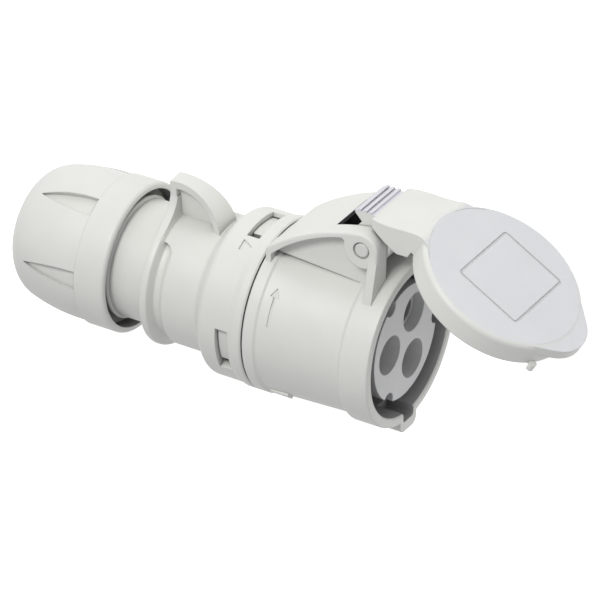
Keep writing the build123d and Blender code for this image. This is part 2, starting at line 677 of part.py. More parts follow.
def lid_cap():
    """The lid's round cap in its closed place, with the thumb lip at the bottom."""
    back = MOUTH_X + LID_GAP
    front = back + LID_DEPTH
    cap = disc(back, front, LID_R)
    cap = fillet(cap.edges().group_by(Axis.X)[-1], LID_EDGE_R)
    outline = make_hull([
        *Circle(LID_R - LIP_STEP).edges(),
        *(Pos(0, LIP_R - LIP_REACH) * Circle(LIP_R)).edges(),
    ])
    lip_x = front - LIP_DROP
    cap += Pos(lip_x - LIP_T, 0, 0) * extrude(Plane.YZ * outline, LIP_T)
    cap -= disc(back - 1, front - LID_PLATE_T, LID_R - LID_WALL)
    shelf_x = back + SEAL_T
    cap += tube(shelf_x, shelf_x + SEAL_SHELF_T, LID_R - LID_WALL + 0.5, SEAL_OUTER_R - SEAL_W - 0.6)
    for side in (-1, 1):
        y, z = polar(LID_R + NIB_EDGE, 180 + side * NIB_SPAN_DEG)
        cap += disc(back - NIB_LEN, back + 1, NIB_R, y, z)
    return cap


def opened(x, z):
    """Where a point of the closed lid's side view lies while the lid is open."""
    turn = math.radians(LID_OPEN_DEG)
    ahead = x - PIN_X
    above = z - PIN_Z
    return (
        PIN_X + ahead * math.cos(turn) - above * math.sin(turn),
        PIN_Z + ahead * math.sin(turn) + above * math.cos(turn),
    )


def arm_end_x():
    """Where the arm's top runs out on the lid's outer face."""
    face_x, face_z = opened(MOUTH_X + LID_GAP + LID_DEPTH, 0)
    return face_x - (ARM_TOP_Z - face_z) * math.tan(math.radians(LID_OPEN_DEG))


def arm_plan(inset=0.0):
    """The arm from above: nearly straight sides that flare into the lid's round edge."""
    start = PIN_X + ARM_START
    end = arm_end_x()
    side = Spline(
        (start, ARM_REAR_HALF_W - inset), ((start + end) / 2, ARM_HALF_W - inset),
        (end - 2.0, ARM_HALF_W + 0.2 - inset), (end + ARM_FLARE, ARM_HALF_W + ARM_FLARE - inset),
    )
    other = mirror(side, Plane.XZ)
    return make_face(Curve() + [side, Line(side @ 1, other @ 1), other, Line(other @ 0, side @ 0)])


def arm_shell():
    """The arm's plate with a wall down each side; the walls keep clear of the bracket when the lid is closed."""
    end = arm_end_x()
    under = ARM_TOP_Z - ARM_T
    slope = math.tan(math.radians(90 - LID_OPEN_DEG))
    clear_x = BRACKET_FRONT_X + EAR_FRONT_CLEAR
    turn = math.radians(LID_OPEN_DEG)
    lobe_z = ARM_TOP_Z - LOBE_DROP
    lobe_x = PIN_X + (clear_x - PIN_X - (lobe_z - PIN_Z) * math.sin(turn)) / math.cos(turn)
    start_z = PIN_Z + (clear_x - PIN_X - ARM_START * math.cos(turn)) / math.sin(turn)
    profile = softened([
        (PIN_X + ARM_START, ARM_TOP_Z), (end + 0.2, ARM_TOP_Z), (end + 7, ARM_TOP_Z - 6.8 * slope),
        (end + 1, ARM_TOP_Z - 6.5), (end - 1.5, ARM_TOP_Z - 6.5), (lobe_x + 4.5, lobe_z, LOBE_R),
        (lobe_x, lobe_z, LOBE_R), (PIN_X + ARM_START, max(start_z, under)),
    ])
    shell = side_plate(profile, -30, 30) & extrude(arm_plan(), ARM_TOP_Z + 5)
    hollow = extrude(arm_plan(CHEEK_T), under)
    return shell - hollow


def lid_arm():
    """Arm, cheeks, heel and knuckle in the open place."""
    half = EAR_INNER_Y - HINGE_SIDE_CLEAR
    spring_cut = SPRING_POCKET_W / 2
    knuckle = Pos(PIN_X, 0, PIN_Z) * Rot(90, 0, 0) * Cylinder(KNUCKLE_R, 2 * half)
    heel = Polyline(
        (HEEL_REAR_X, ARM_TOP_Z), (PIN_X + 4, ARM_TOP_Z), (PIN_X + 4, PIN_Z),
        (PIN_X - 4, PIN_Z), (PIN_X - 3.0, PIN_Z + 5.6), (HEEL_REAR_X, ARM_TOP_Z - 0.8), close=True,
    )
    arm = arm_shell() + knuckle + side_plate(heel, -half, half)
    cheek = Polyline(
        (PIN_X, PIN_Z - KNUCKLE_R + 1.5), (PIN_X + 6, PIN_Z - 1.5), (PIN_X + 9, PIN_Z + 1),
        (PIN_X + 14, ARM_TOP_Z - 2), (PIN_X, ARM_TOP_Z - 2), close=True,
    )
    for side in (-half, half - CHEEK_T):
        arm += side_plate(cheek, side, side + CHEEK_T)
    pocket_r = SPRING_COIL_R + SPRING_WIRE_R + 0.7
    pocket = Pos(PIN_X, 0, PIN_Z) * Rot(90, 0, 0) * Cylinder(pocket_r, 2 * spring_cut)
    pocket += block(PIN_X - pocket_r, PIN_X + pocket_r, -spring_cut, spring_cut, PIN_Z - 12, PIN_Z)
    pocket += block(PIN_X - 12, PIN_X, -spring_cut, spring_cut, PIN_Z - 12, PIN_Z + 3.4)
    return arm - pocket


def lid_ridges():
    """Low bars across the heel's top."""
    half = EAR_INNER_Y - HINGE_SIDE_CLEAR
    bars = Part()
    for index in range(RIDGE_COUNT):
        x = RIDGE_FIRST_X + index * RIDGE_PITCH
        bars += block(x, x + RIDGE_W, -half, half, ARM_TOP_Z - 0.2, ARM_TOP_Z + RIDGE_H)
    return bars


def lid():
    shape = lid_swing(LID_OPEN_DEG) * lid_cap() + lid_arm() + lid_ridges()
    mouth = disc(PIN_X - 15, MOUTH_X + LID_GAP, BAND_R + 0.5)
    shape -= lid_swing(LID_OPEN_DEG) * mouth
    shape -= Pos(PIN_X, 0, PIN_Z) * Rot(90, 0, 0) * Cylinder(PIN_R + PIN_CLEAR, BRACKET_W)
    return shape


def lid_seal():
    front = MOUTH_X + LID_GAP + SEAL_T
    return lid_swing(LID_OPEN_DEG) * tube(front - SEAL_T + 0.2, front, SEAL_OUTER_R, SEAL_OUTER_R - SEAL_W)


def hinge_pin():
    pin = Pos(PIN_X, 0, PIN_Z) * Rot(90, 0, 0) * Cylinder(PIN_R, BRACKET_W)
    return chamfer(pin.edges().filter_by(GeomType.CIRCLE), 0.4)


def lid_spring():
    """Torsion spring on the pin, one leg up in the lid's heel and one down to the shroud."""
    length = SPRING_TURNS * SPRING_PITCH
    helix = Helix(pitch=SPRING_PITCH, height=length, radius=SPRING_COIL_R)
    section = RegularPolygon(SPRING_WIRE_R, SPRING_WIRE_SIDES)
    coil = sweep(Plane(origin=helix @ 0, z_dir=helix % 0) * section, path=helix)
    coil = Pos(PIN_X, length / 2, PIN_Z) * Rot(90, 0, 0) * Rot(0, 0, 180) * coil
    rear = PIN_X - SPRING_COIL_R
    up = Pos(rear, length / 2, PIN_Z) * Cylinder(SPRING_WIRE_R, SPRING_UP_LEG, align=LEG_UP)
    down = Pos(rear, -length / 2, PIN_Z) * Cylinder(SPRING_WIRE_R, SPRING_DOWN_LEG, align=LEG_DOWN)
    return coil + up + down


NODES = {
    "front_housing": front_housing(),
    "rear_housing": rear_housing(),
    "housing_o_ring": housing_o_ring(),
    "gland_nut": gland_nut(),
    "pressure_ring": pressure_ring(),
    "gland_cage": gland_cage(),
    "gland_seal": gland_seal(),
    "contact_insert": contact_insert(),
    "terminal_block": terminal_block(),
    "insert_retainer": insert_retainer(),
    "retainer_screws": retainer_screws(),
    "lid": lid(),
    "lid_seal": lid_seal(),
    "hinge_pin": hinge_pin(),
    "lid_spring": lid_spring(),
}
for name, (y, z) in zip(("lower", "near"), contact_places()):
    NODES["contact_sleeve_" + name] = contact_sleeve(y, z)
    NODES["contact_spring_ring_" + name] = contact_spring_ring(y, z)
    NODES["terminal_screw_" + name] = terminal_screw(y, z)

# The loose coupler lies on its side, on its flange and the edge of the open lid.
# The origin is the centre of the cable hole, at the back of the gland nut.
LAID_DOWN = Rot(-90, 0, 0) * Pos(-NUT_END_X, 0, 0)

os.makedirs("parts", exist_ok=True)
for name, shape in NODES.items():
    export_step(LAID_DOWN * shape, "parts/" + name + ".step")
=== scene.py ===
import json
import math

import bmesh
import bpy
from mathutils import Matrix, Vector


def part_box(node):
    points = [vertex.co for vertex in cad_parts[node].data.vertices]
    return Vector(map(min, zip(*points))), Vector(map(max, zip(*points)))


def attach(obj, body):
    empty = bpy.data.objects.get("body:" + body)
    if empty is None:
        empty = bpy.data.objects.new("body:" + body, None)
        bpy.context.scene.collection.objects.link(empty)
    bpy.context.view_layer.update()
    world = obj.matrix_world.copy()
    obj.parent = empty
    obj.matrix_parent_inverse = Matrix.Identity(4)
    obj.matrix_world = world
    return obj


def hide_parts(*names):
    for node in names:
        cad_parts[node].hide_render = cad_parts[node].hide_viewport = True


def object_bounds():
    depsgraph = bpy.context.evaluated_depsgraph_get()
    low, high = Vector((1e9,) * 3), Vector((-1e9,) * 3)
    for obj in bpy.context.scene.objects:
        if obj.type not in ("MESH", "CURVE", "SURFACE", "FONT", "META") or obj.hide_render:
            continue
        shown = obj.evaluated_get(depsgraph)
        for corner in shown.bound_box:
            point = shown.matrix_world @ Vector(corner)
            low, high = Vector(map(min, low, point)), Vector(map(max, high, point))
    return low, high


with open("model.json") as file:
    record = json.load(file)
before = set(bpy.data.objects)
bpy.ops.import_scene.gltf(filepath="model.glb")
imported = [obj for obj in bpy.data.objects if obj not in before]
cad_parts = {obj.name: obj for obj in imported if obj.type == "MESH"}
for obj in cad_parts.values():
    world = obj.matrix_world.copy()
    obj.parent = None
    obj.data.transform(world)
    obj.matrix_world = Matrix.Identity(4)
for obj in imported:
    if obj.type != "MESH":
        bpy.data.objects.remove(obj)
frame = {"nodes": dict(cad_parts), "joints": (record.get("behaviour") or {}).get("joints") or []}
cad_low, cad_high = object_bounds()
MM = 0.001

# The coupler's measures, in millimetres; x runs along its axis from the cable hole.
# The joint between the housings, the hinge, the mouth and the insert's face are read from the frame.
JOINT_GAP = 0.5
JOINT_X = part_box("rear_housing")[1].x / MM + JOINT_GAP
HINGE = Vector(next(joint["pos_m"] for joint in frame["joints"] if joint["name"] == "lid_hinge")) / MM
MOUTH_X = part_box("front_housing")[1].x / MM
INSERT_FACE_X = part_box("contact_insert")[1].x / MM

# Rear housing
COLLAR_R = 28.7
BODY_R = 23.5
GROOVE_X = 58.3
GROOVE_W = 4.7
GROOVE_FLOOR = 2.5
GROOVE_TOP = 0.04
GROOVE_OVERLAP = 0.5
GROOVE_ENDS = ((38.0, -1), (-28.0, 1))
POINTER = ((-0.3, -2.1), (3.7, 0), (-0.3, 2.1))
POINTER_DEPTH = 0.4
POINTER_BACK = 9.9
POINTER_DEG = 26.5
THREAD_X = 26.0
THREAD_LEN = 13.0
THREAD_RUNOUT = 3.0
THREAD_R = 19.4
THREAD_PITCH = 3.0
THREAD_PROFILE_R = 0.85
THREAD_LIFT = 0.15

# Front housing
BARREL_R = 28.3
MOUTH_R = 25.5
BULKHEAD_X = 107.5
RIM_DEPTH = 1.5
KEYWAY_LEN = 10.2
KEYWAY_HALF_W = 3.5
KEYWAY_R = 28.8
TURN_ARROW = {"length": 13.0, "shaft_w": 0.7, "head_w": 3.2, "head_len": 3.0}
TURN_ARROW_DEPTH = 0.3
TURN_ARROW_AHEAD = 8.5
TURN_ARROW_DEG = 61.0
ROOF_T = 1.9
WEB_INSIDE = 10.2
EAR_FACE = 16.0
PIN_SINK_R = 2.95
PIN_SINK_DEPTH = 0.7

# Contact insert: its place without a contact
EMPTY_Y = 8.747
EMPTY_Z = -5.05
EMPTY_R = 5.2
EMPTY_SINK = 3.8

# Lid
LID_OPEN_DEG = 60.0
LID_FACE_DISTANCE = 19.0
LID_CENTRE_DROP = 39.2
LID_FACE_R = 27.0
LID_RAMP_H = 3.0
LID_RAMP_REST = 0.005
LID_LIP_START = 23.0
LID_FRAME = {"width": 24.5, "height": 30.6, "corner": 1.4, "groove_w": 0.7, "depth": 0.35}
LID_FRAME_SHIFT = (1.75, 1.6, 0)
RIDGE_FOOT = 9.3
RIDGE_AHEAD = 1.5

# Spring on the hinge pin
SPRING_COIL_R = 3.7
SPRING_WIRE_R = 0.55
SPRING_LEN = 6.0
SPRING_TURNS = 4.0
SPRING_UPPER_LEG = 2.6
SPRING_LOWER_LEG = 11.0

# Smoothing and joining, in degrees and metres
SHARP_DEG = 34.0
JOIN_DISTANCE = 0.000001
CUT_MARGIN = 0.5


# Shader groups, each built once and placed in several materials

def group_socket(group, name, kind, value=None, output=False):
    socket = group.interface.new_socket(name=name, in_out="OUTPUT" if output else "INPUT", socket_type=kind)
    if value is not None:
        socket.default_value = value
    return socket


def add(tree, kind, **settings):
    """New node with its properties and, for names that aren't properties, its input values."""
    node = tree.nodes.new(kind)
    for name, value in settings.items():
        if name in node.inputs:
            node.inputs[name].default_value = value
        else:
            setattr(node, name, value)
    return node


def moulded_skin_group():
    """Colour, roughness and normal of injection-moulded plastic: fine grain, soft edges, and painted shade that
    darkens the colour in deep gaps.
    """
    group = bpy.data.node_groups.new("moulded_skin", "ShaderNodeTree")
    group_socket(group, "Base", "NodeSocketColor", (0.8, 0.8, 0.8, 1))
    group_socket(group, "Shade", "NodeSocketColor", (0.7, 0.7, 0.7, 1))
    group_socket(group, "Grain Scale", "NodeSocketFloat", 2600.0)
    group_socket(group, "Grain Height", "NodeSocketFloat", 0.02)
    group_socket(group, "Roughness", "NodeSocketFloat", 0.4)
    group_socket(group, "Edge Radius", "NodeSocketFloat", 0.0005)
    group_socket(group, "Gap Depth", "NodeSocketFloat", 0.01)
    group_socket(group, "Painted Shade Colour", "NodeSocketColor", (0.12, 0.12, 0.125, 1))
    group_socket(group, "Color", "NodeSocketColor", output=True)
    group_socket(group, "Roughness", "NodeSocketFloat", output=True)
    group_socket(group, "Normal", "NodeSocketVector", output=True)
    inside = add(group, "NodeGroupInput")
    outside = add(group, "NodeGroupOutput")
    link = group.links.new
    place = add(group, "ShaderNodeTexCoord")

    mottle = add(group, "ShaderNodeTexNoise", Scale=55.0, Detail=3.0, Roughness=0.55)
    link(place.outputs["Object"], mottle.inputs["Vector"])
    spread = add(group, "ShaderNodeMapRange")
    spread.inputs["From Min"].default_value = 0.35
    spread.inputs["From Max"].default_value = 0.7
    link(mottle.outputs["Fac"], spread.inputs["Value"])
    tint = add(group, "ShaderNodeMix", data_type="RGBA")
    link(spread.outputs["Result"], tint.inputs["Factor"])
    link(inside.outputs["Base"], tint.inputs["A"])
    link(inside.outputs["Shade"], tint.inputs["B"])
    # Painted shade: ambient occlusion mixes the colour toward a dark grey in deep gaps, where shade falls.
    hollow = add(group, "ShaderNodeAmbientOcclusion", samples=6)
    link(inside.outputs["Gap Depth"], hollow.inputs["Distance"])
    reach = add(group, "ShaderNodeMapRange", interpolation_type="SMOOTHSTEP")
    reach.inputs["From Min"].default_value = 0.05
    reach.inputs["From Max"].default_value = 0.45
    link(hollow.outputs["AO"], reach.inputs["Value"])
    painted_gap_shade = add(group, "ShaderNodeMix", data_type="RGBA")
    link(reach.outputs["Result"], painted_gap_shade.inputs["Factor"])
    link(inside.outputs["Painted Shade Colour"], painted_gap_shade.inputs["A"])
    link(tint.outputs["Result"], painted_gap_shade.inputs["B"])
    link(painted_gap_shade.outputs["Result"], outside.inputs["Color"])

    grain = add(group, "ShaderNodeTexNoise", Detail=2.0, Roughness=0.6)
    link(place.outputs["Object"], grain.inputs["Vector"])
    link(inside.outputs["Grain Scale"], grain.inputs["Scale"])
    gloss = add(group, "ShaderNodeMath", operation="MULTIPLY_ADD")
    gloss.inputs[1].default_value = 0.1
    link(grain.outputs["Fac"], gloss.inputs[0])
    link(inside.outputs["Roughness"], gloss.inputs[2])
    link(gloss.outputs["Value"], outside.inputs["Roughness"])

    edge = add(group, "ShaderNodeBevel", samples=4)
    link(inside.outputs["Edge Radius"], edge.inputs["Radius"])
    bump = add(group, "ShaderNodeBump", Strength=0.25)
    link(inside.outputs["Grain Height"], bump.inputs["Distance"])
    link(grain.outputs["Fac"], bump.inputs["Height"])
    link(edge.outputs["Normal"], bump.inputs["Normal"])
    link(bump.outputs["Normal"], outside.inputs["Normal"])
    return group


def turned_metal_group():
    """Colour, roughness and normal of a small turned metal part: rings of tool marks and dull spots."""
    group = bpy.data.node_groups.new("turned_metal", "ShaderNodeTree")
    group_socket(group, "Base", "NodeSocketColor", (0.8, 0.7, 0.4, 1))
    group_socket(group, "Dull", "NodeSocketColor", (0.6, 0.5, 0.3, 1))
    group_socket(group, "Ring Scale", "NodeSocketFloat", 900.0)
    group_socket(group, "Color", "NodeSocketColor", output=True)
    group_socket(group, "Roughness", "NodeSocketFloat", output=True)
    group_socket(group, "Normal", "NodeSocketVector", output=True)
    inside = add(group, "NodeGroupInput")
    outside = add(group, "NodeGroupOutput")
    link = group.links.new
    place = add(group, "ShaderNodeTexCoord")

    rings = add(group, "ShaderNodeTexWave", bands_direction="X", Distortion=1.5, Detail=2.0)
    link(place.outputs["Object"], rings.inputs["Vector"])
    link(inside.outputs["Ring Scale"], rings.inputs["Scale"])
    spots = add(group, "ShaderNodeTexNoise", Scale=700.0, Detail=4.0)
    link(place.outputs["Object"], spots.inputs["Vector"])
    tint = add(group, "ShaderNodeMix", data_type="RGBA")
    link(spots.outputs["Fac"], tint.inputs["Factor"])
    link(inside.outputs["Base"], tint.inputs["A"])
    link(inside.outputs["Dull"], tint.inputs["B"])
    link(tint.outputs["Result"], outside.inputs["Color"])
    rough = add(group, "ShaderNodeMapRange")
    rough.inputs["To Min"].default_value = 0.22
    rough.inputs["To Max"].default_value = 0.45
    link(spots.outputs["Fac"], rough.inputs["Value"])
    link(rough.outputs["Result"], outside.inputs["Roughness"])
    bump = add(group, "ShaderNodeBump", Strength=0.2, Distance=0.00002)
    link(rings.outputs["Fac"], bump.inputs["Height"])
    link(bump.outputs["Normal"], outside.inputs["Normal"])
    return group


MOULDED_SKIN = moulded_skin_group()
TURNED_METAL = turned_metal_group()


def shaded_material(name, group, values, metallic=0.0, specular=0.5):
    """Material whose Principled shader takes colour, roughness and normal from a group."""
    material = bpy.data.materials.new(name)
    material.use_nodes = True
    tree = material.node_tree
    shader = tree.nodes["Principled BSDF"]
    skin = tree.nodes.new("ShaderNodeGroup")
    skin.node_tree = group
    for socket, value in values.items():
        skin.inputs[socket].default_value = value
    tree.links.new(skin.outputs["Color"], shader.inputs["Base Color"])
    tree.links.new(skin.outputs["Roughness"], shader.inputs["Roughness"])
    tree.links.new(skin.outputs["Normal"], shader.inputs["Normal"])
    shader.inputs["Metallic"].default_value = metallic
    shader.inputs["Specular IOR Level"].default_value = specular
    return material


def plastic(name, base, shade, roughness=0.4, grain=0.00002, edge=0.0005, specular=0.5):
    values = {
        "Base": (*base, 1), "Shade": (*shade, 1), "Roughness": roughness,
        "Grain Height": grain, "Edge Radius": edge,
    }
    return shaded_material(name, MOULDED_SKIN, values, specular=specular)


def metal(name, base, dull, ring_scale):
    values = {"Base": (*base, 1), "Dull": (*dull, 1), "Ring Scale": ring_scale}
    return shaded_material(name, TURNED_METAL, values, metallic=1.0)


HOUSING_GREY = plastic("housing_grey", (0.675, 0.68, 0.65), (0.65, 0.655, 0.625))
# Painted light: the lid's outer face is darker and bluer than the housing, standing in for the cool light that falls
# on it.
LID_FACE_PAINTED_SHADE = plastic("lid_face_painted_shade", (0.62, 0.625, 0.645), (0.6, 0.605, 0.625))
# Painted shade: the ridges on the lid's heel are tinted lilac for the shade that falls on them.
RIDGE_PAINTED_SHADE = plastic("ridge_painted_shade", (0.645, 0.64, 0.69), (0.62, 0.615, 0.665), edge=0.0003)
# Painted shade: a dark grey for the shroud's inner wall and the empty contact place, where shade falls.
INSIDE_PAINTED_SHADE = plastic("inside_painted_shade", (0.38, 0.38, 0.385), (0.35, 0.35, 0.355))
# Painted shadow: near black for the inside of the hinge bracket's hollow, where shadow falls.
BRACKET_PAINTED_SHADOW = plastic("bracket_painted_shadow", (0.12, 0.12, 0.125), (0.1, 0.1, 0.105))
PIN_GREY = plastic("pin_grey", (0.64, 0.645, 0.62), (0.61, 0.615, 0.59), edge=0.0003)
INSERT_GREY = plastic("insert_grey", (0.63, 0.63, 0.635), (0.6, 0.6, 0.605), edge=0.0002)
INNER_GREY = plastic("inner_grey", (0.36, 0.37, 0.37), (0.32, 0.33, 0.33), edge=0.0002)
SEAL_BLACK = plastic("seal_black", (0.02, 0.02, 0.021), (0.03, 0.03, 0.03), roughness=0.6, edge=0.0002)
CONTACT_BRASS = metal("contact_brass", (0.72, 0.55, 0.26), (0.6, 0.44, 0.2), 1400.0)
PLATED_STEEL = metal("plated_steel", (0.62, 0.63, 0.65), (0.5, 0.51, 0.53), 2000.0)


# Pieces made from the frame's solids

def joined_copy(node, name):
    """Copy of a solid's mesh with its loose triangles joined."""
    mesh = frame["nodes"][node].data.copy()
    mesh.name = name
    piece = bpy.data.objects.new(name, mesh)
    bpy.context.scene.collection.objects.link(piece)
    work = bmesh.new()
    work.from_mesh(mesh)
    bmesh.ops.remove_doubles(work, verts=work.verts, dist=JOIN_DISTANCE)
    work.to_mesh(mesh)
    work.free()
    return piece


def smooth_faces(piece):
    """Smooth shading that keeps sharp edges and lets large faces stay flat."""
    work = bmesh.new()
    work.from_mesh(piece.data)
    limit = math.radians(SHARP_DEG)
    for face in work.faces:
        face.smooth = True
    for edge in work.edges:
        edge.smooth = len(edge.link_faces) == 2 and edge.calc_face_angle(0.0) < limit
    work.to_mesh(piece.data)
    work.free()
    weighted = piece.modifiers.new("weighted", "WEIGHTED_NORMAL")
    weighted.keep_sharp = True
    weighted.weight = 90


def apply_modifiers(piece):
    """Turns the piece with its modifiers into a plain mesh."""
    graph = bpy.context.evaluated_depsgraph_get()
    mesh = bpy.data.meshes.new_from_object(piece.evaluated_get(graph))
    piece.modifiers.clear()
    piece.data = mesh


def carve(piece, cutters, operation="DIFFERENCE"):
    """Cuts the cutters' meshes out of the piece, or joins them to it, and removes them."""
    for cutter in cutters:
        cut = piece.modifiers.new("cut", "BOOLEAN")
        cut.operation = operation
        cut.solver = "EXACT"
        cut.object = cutter
        apply_modifiers(piece)
        bpy.data.objects.remove(cutter)


def give_material(piece, material):
    piece.data.materials.clear()
    piece.data.materials.append(material)


def tint_faces(piece, material, chosen):
    """Gives a second material to the faces that are chosen by their centre, in millimetres, and direction."""
    piece.data.materials.append(material)
    last = len(piece.data.materials) - 1
    for polygon in piece.data.polygons:
        if chosen(polygon.center / MM, polygon.normal):
            polygon.material_index = last


def finish_piece(piece, node, body, material):
    """Smooths a piece that stands for a solid, and hangs it on its body."""
    give_material(piece, material)
    smooth_faces(piece)
    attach(piece, body)
    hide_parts(node)


# Pieces grown by Geometry Nodes

def node_tree(name, inputs):
    """Geometry tree with named inputs, given as (name, socket type, default)."""
    tree = bpy.data.node_groups.new(name, "GeometryNodeTree")
    tree.is_modifier = True
    for label, kind, value in inputs:
        group_socket(tree, label, kind, value)
    group_socket(tree, "Geometry", "NodeSocketGeometry", output=True)
    return tree, add(tree, "NodeGroupInput"), add(tree, "NodeGroupOutput")


def scalar(tree, operation, first, second):
    """Math node on two sockets or numbers, and its output."""
    node = add(tree, "ShaderNodeMath", operation=operation)
    for slot, value in enumerate((first, second)):
        if isinstance(value, (int, float)):
            node.inputs[slot].default_value = value
        else:
            tree.links.new(value, node.inputs[slot])
    return node.outputs["Value"]


def vector(tree, x, y, z):
    """Vector from three sockets or numbers."""
    node = add(tree, "ShaderNodeCombineXYZ")
    for axis, value in zip("XYZ", (x, y, z)):
        if isinstance(value, (int, float)):
            node.inputs[axis].default_value = value
        else:
            tree.links.new(value, node.inputs[axis])
    return node.outputs["Vector"]


def swept_wire(tree, curve, radius, sides, material, result):
    """Turns a curve into a round wire with its material, at the end of a tree."""
    profile = add(tree, "GeometryNodeCurvePrimitiveCircle", Resolution=sides)
    wire = add(tree, "GeometryNodeCurveToMesh")
    wire.inputs["Fill Caps"].default_value = True
    real = add(tree, "GeometryNodeRealizeInstances")
    coat = add(tree, "GeometryNodeSetMaterial")
    link = tree.links.new
    link(radius, profile.inputs["Radius"])
    link(curve, wire.inputs["Curve"])
    link(profile.outputs["Curve"], wire.inputs["Profile Curve"])
    link(wire.outputs["Mesh"], real.inputs["Geometry"])
    link(real.outputs["Geometry"], coat.inputs["Geometry"])
    link(material, coat.inputs["Material"])
    link(coat.outputs["Geometry"], result.inputs["Geometry"])


def torsion_spring_tree():
    """Round wire wound about Z, with a leg up at its start and a leg down at its end."""
    tree, given, result = node_tree("torsion_spring", [
        ("Coil Radius", "NodeSocketFloat", 0.0037), ("Wire Radius", "NodeSocketFloat", 0.00055),
        ("Length", "NodeSocketFloat", 0.006), ("Turns", "NodeSocketFloat", 4.0),
        ("Upper Leg", "NodeSocketFloat", 0.0026), ("Lower Leg", "NodeSocketFloat", 0.011),
        ("Material", "NodeSocketMaterial", None),
    ])
    link = tree.links.new
    coil = add(tree, "GeometryNodeCurveSpiral", Resolution=28)
    link(given.outputs["Turns"], coil.inputs["Rotations"])
    link(given.outputs["Coil Radius"], coil.inputs["Start Radius"])
    link(given.outputs["Coil Radius"], coil.inputs["End Radius"])
    link(given.outputs["Length"], coil.inputs["Height"])
    turned = add(tree, "GeometryNodeTransform")
    turned.inputs["Rotation"].default_value = (0, 0, math.pi)
    link(coil.outputs["Curve"], turned.inputs["Geometry"])
    half = scalar(tree, "MULTIPLY", given.outputs["Length"], 0.5)
    low = scalar(tree, "MULTIPLY", half, -1.0)
    link(vector(tree, 0.0, 0.0, low), turned.inputs["Translation"])
    rear = scalar(tree, "MULTIPLY", given.outputs["Coil Radius"], -1.0)
    drop = scalar(tree, "MULTIPLY", given.outputs["Lower Leg"], -1.0)
    parts = add(tree, "GeometryNodeJoinGeometry")
    for end, reach in ((low, given.outputs["Upper Leg"]), (half, drop)):
        leg = add(tree, "GeometryNodeCurvePrimitiveLine")
        link(vector(tree, rear, 0.0, end), leg.inputs["Start"])
        link(vector(tree, rear, reach, end), leg.inputs["End"])
        link(leg.outputs["Curve"], parts.inputs["Geometry"])
    link(turned.outputs["Geometry"], parts.inputs["Geometry"])
    swept_wire(tree, parts.outputs["Geometry"], given.outputs["Wire Radius"], 12, given.outputs["Material"], result)
    return tree


def thread_tree():
    """Sharp-edged helix about X, for a thread's groove or ridge."""
    tree, given, result = node_tree("thread_helix", [
        ("Radius", "NodeSocketFloat", 0.0194), ("Profile Radius", "NodeSocketFloat", 0.0009),
        ("Length", "NodeSocketFloat", 0.012), ("Turns", "NodeSocketFloat", 4.0),
        ("Start", "NodeSocketFloat", 0.0), ("Material", "NodeSocketMaterial", None),
    ])
    link = tree.links.new
    helix = add(tree, "GeometryNodeCurveSpiral", Resolution=40)
    link(given.outputs["Turns"], helix.inputs["Rotations"])
    link(given.outputs["Radius"], helix.inputs["Start Radius"])
    link(given.outputs["Radius"], helix.inputs["End Radius"])
    link(given.outputs["Length"], helix.inputs["Height"])
    laid = add(tree, "GeometryNodeTransform")
    laid.inputs["Rotation"].default_value = (0, math.pi / 2, 0)
    link(helix.outputs["Curve"], laid.inputs["Geometry"])
    link(vector(tree, given.outputs["Start"], 0.0, 0.0), laid.inputs["Translation"])
    swept_wire(tree, laid.outputs["Geometry"], given.outputs["Profile Radius"], 4, given.outputs["Material"], result)
    return tree


def grow(name, tree, values):
    """Plain mesh piece from a tree with its inputs set by their sockets' identifiers."""
    piece = bpy.data.objects.new(name, bpy.data.meshes.new(name + "_seed"))
    bpy.context.scene.collection.objects.link(piece)
    maker = piece.modifiers.new("grow", "NODES")
    maker.node_group = tree
    for item in tree.interface.items_tree:
        if item.item_type == "SOCKET" and item.in_out == "INPUT" and item.name in values:
            maker[item.identifier] = values[item.name]
    apply_modifiers(piece)
    return piece


# Carved marks

def close_prism(work, top, bottom):
    """Faces of a prism between two rims of vertices."""
    work.faces.new(top)
    work.faces.new(bottom[::-1])
    for index, corner in enumerate(top):
        following = (index + 1) % len(top)
        work.faces.new((top[following], corner, bottom[index], bottom[following]))


def mesh_piece(name, work):
    """Object made from a bmesh, with its faces turned outwards."""
    bmesh.ops.recalc_face_normals(work, faces=work.faces)
    mesh = bpy.data.meshes.new(name)
    work.to_mesh(mesh)
    work.free()
    piece = bpy.data.objects.new(name, mesh)
    bpy.context.scene.collection.objects.link(piece)
    return piece


def wrapped_cutter(outlines, depth, x, degrees, radius):
    """Prisms that follow a round surface; outlines are (along, round) in millimetres."""
    work = bmesh.new()
    for outline in outlines:
        rims = []
        for level in (CUT_MARGIN, -depth):
            rim = []
            for along, sideways in outline:
                angle = math.radians(degrees) - sideways / radius
                out = Vector((0, math.cos(angle), math.sin(angle)))
                rim.append(work.verts.new((Vector((x + along, 0, 0)) + out * (radius + level)) * MM))
            rims.append(rim)
        close_prism(work, *rims)
    return mesh_piece("cutter", work)


def wrapped_strip(rows, low, high, x, degrees):
    """Solid strip round the coupler; rows are (first along, last along, round), between two radii."""
    work = bmesh.new()
    rings = []
    for first, last, sideways in rows:
        angle = math.radians(degrees) - sideways / high
        out = Vector((0, math.cos(angle), math.sin(angle)))
        corners = ((first, low), (first, high), (last, high), (last, low))
        rings.append([work.verts.new((Vector((x + along, 0, 0)) + out * radius) * MM) for along, radius in corners])
    work.faces.new(rings[0])
    work.faces.new(rings[-1][::-1])
    for ring, after in zip(rings, rings[1:]):
        for index in range(4):
            following = (index + 1) % 4
            work.faces.new((ring[index], ring[following], after[following], after[index]))
    return mesh_piece("strip", work)


